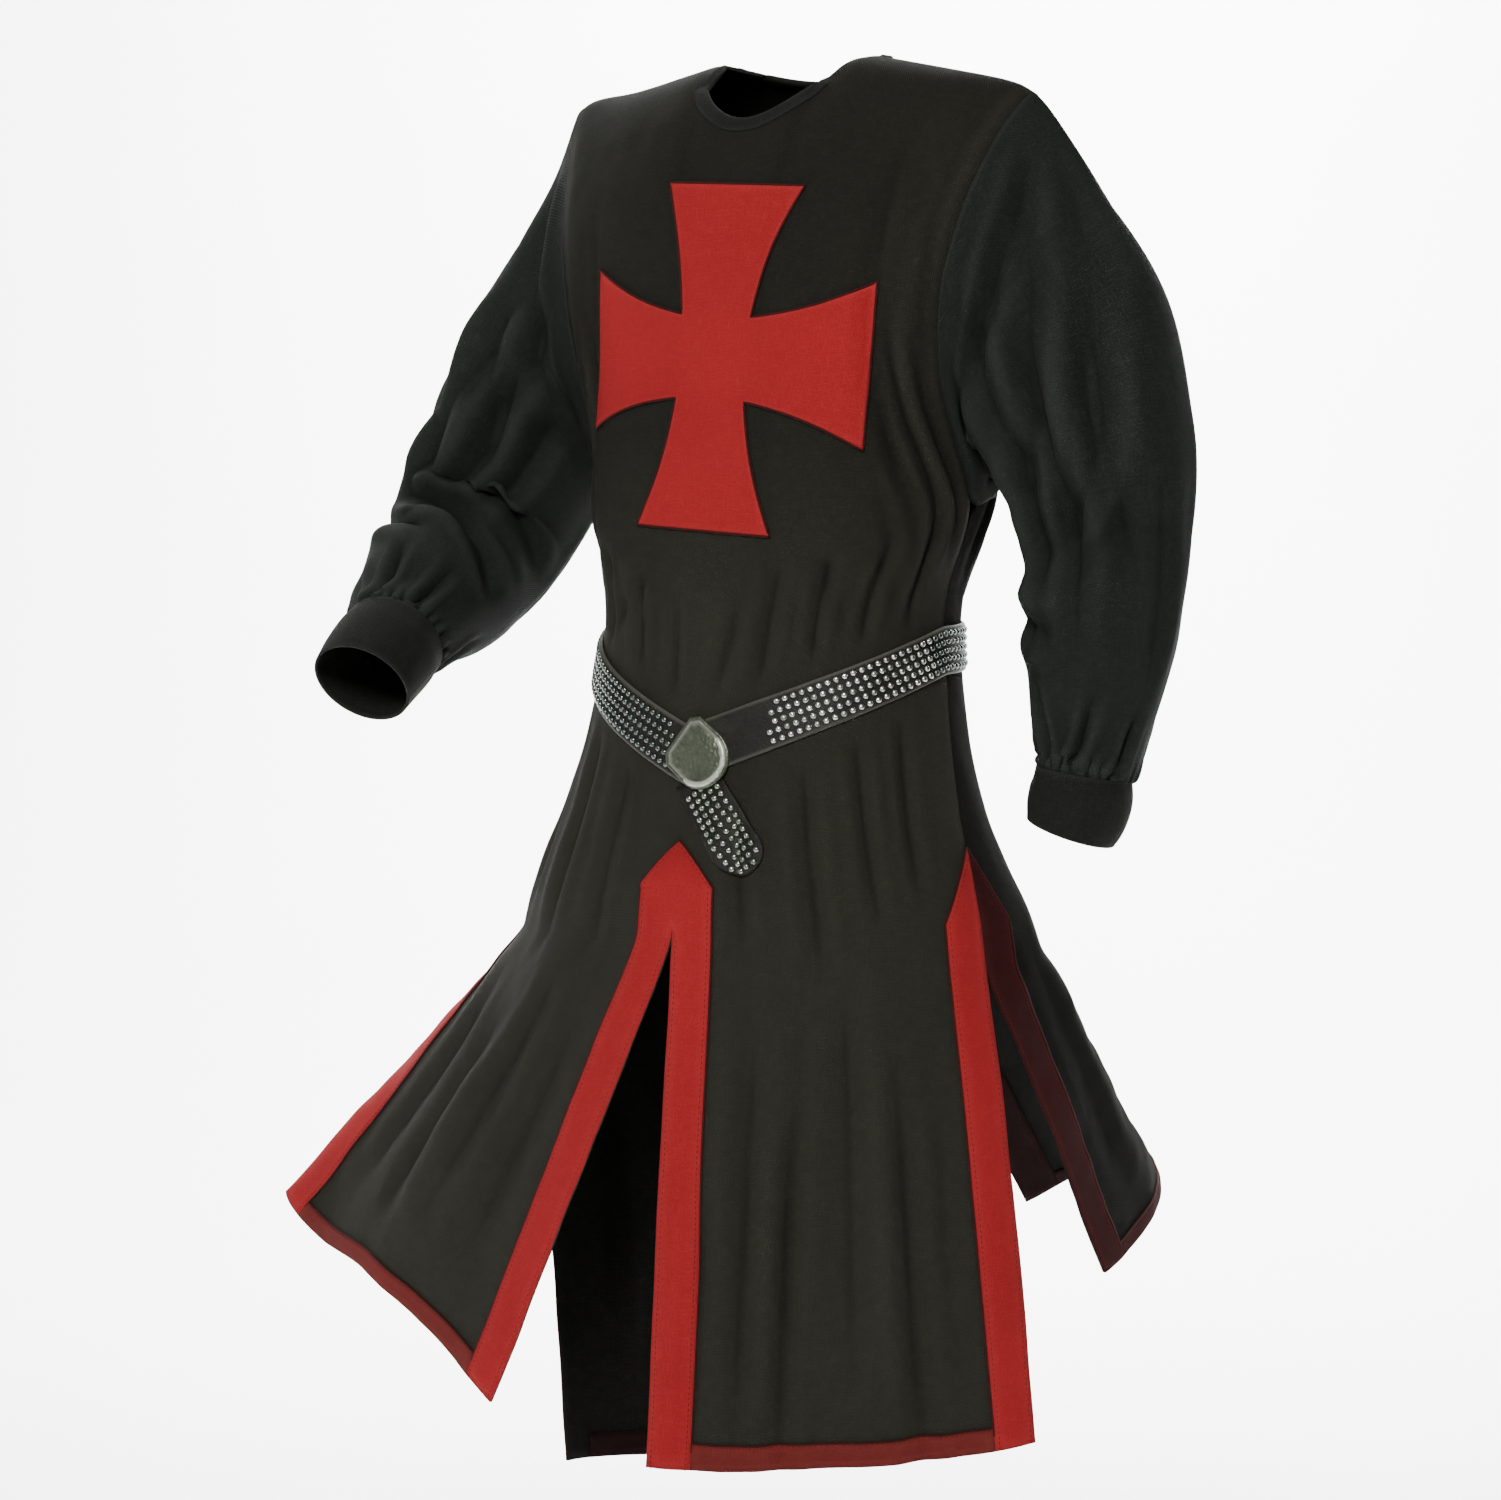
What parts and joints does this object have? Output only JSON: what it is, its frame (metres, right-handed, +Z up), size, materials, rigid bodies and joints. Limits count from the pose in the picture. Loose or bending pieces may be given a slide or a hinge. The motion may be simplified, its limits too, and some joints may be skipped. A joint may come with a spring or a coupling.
{
  "type": "medieval surcoat",
  "caption": "Long-sleeved dark surcoat with a red cross, a skirt slit into panels with red bands, gathered cuffs and a studded leather belt with a round plate buckle.",
  "frame": {"origin": "middle of the neck opening, level with the top of the shoulders, where a wearer holds it up", "axes": "+Z up, the front faces -Y, the wearer's left is +X"},
  "size_m": [0.8797, 0.72, 1.2336],
  "materials": {
    "dark_cloth": "matt woven cloth",
    "red_cloth": "matt woven cloth",
    "dark_red_cloth": "matt woven cloth",
    "belt_leather": "waxed leather with small bright studs",
    "buckle_metal": "dull pale metal"
  },
  "bodies": {
    "root": {"front_body": "dark_cloth", "back_body": "dark_cloth", "sleeve_left": "dark_cloth", "sleeve_right": "dark_cloth", "cuff_left": "dark_cloth", "cuff_right": "dark_cloth", "neck_binding": "dark_cloth", "slit_band_front": "red_cloth", "slit_band_left": "red_cloth", "slit_band_back": "red_cloth", "slit_band_right": "red_cloth", "chest_cross": "red_cloth", "hem_band_front_right": "dark_red_cloth", "hem_band_front_left": "dark_red_cloth", "hem_band_back_left": "dark_red_cloth", "hem_band_back_right": "dark_red_cloth", "slit_facing_back": "dark_red_cloth", "hem_facing_front_right": "dark_red_cloth", "hem_facing_front_left": "dark_red_cloth", "hem_facing_back_left": "dark_red_cloth", "hem_facing_back_right": "dark_red_cloth", "belt_strap": "belt_leather", "belt_tongue": "belt_leather", "belt_buckle": "buckle_metal", "buckle_rim": "buckle_metal"}
  },
  "joints": []
}
